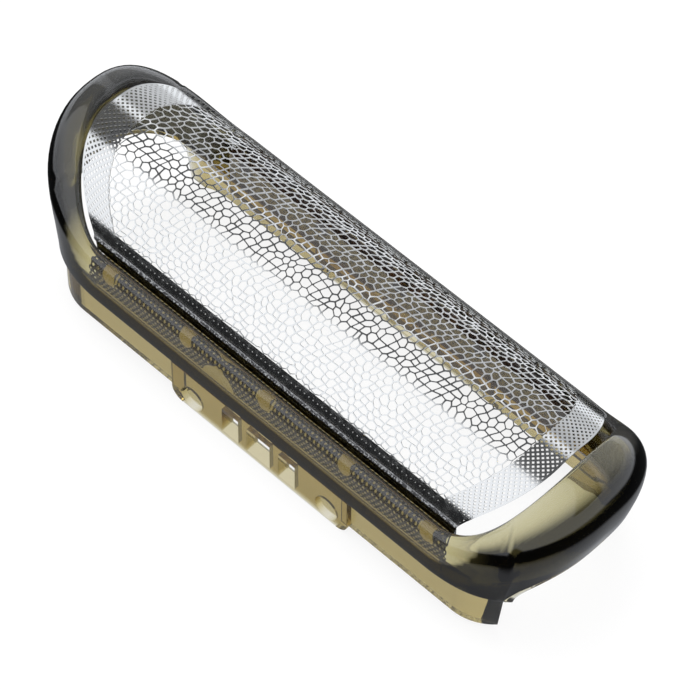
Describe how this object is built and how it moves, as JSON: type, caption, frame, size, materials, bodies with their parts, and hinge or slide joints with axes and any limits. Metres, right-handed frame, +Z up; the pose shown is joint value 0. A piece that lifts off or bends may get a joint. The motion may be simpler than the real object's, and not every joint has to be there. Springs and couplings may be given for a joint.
{
  "type": "shaver foil cassette",
  "caption": "Arched perforated metal foil held in a smoky translucent bezel and a moulded carrier that clips onto the head of an electric shaver.",
  "frame": {"origin": "centre of the footprint, on the plane of the tongues' bottom edges", "axes": "+X along the cassette, +Y across it, +Z up towards the crown of the foil"},
  "size_m": [0.0634, 0.0206, 0.0195],
  "materials": {
    "smoked_bezel": "glossy smoky olive, translucent",
    "nickel_foil": "bright electroformed nickel, finely perforated",
    "olive_carrier": "glossy olive yellow, transparent"
  },
  "bodies": {
    "root": {"outer_frame": "smoked_bezel", "shaving_foil": "nickel_foil", "foil_carrier": "olive_carrier"}
  },
  "joints": []
}
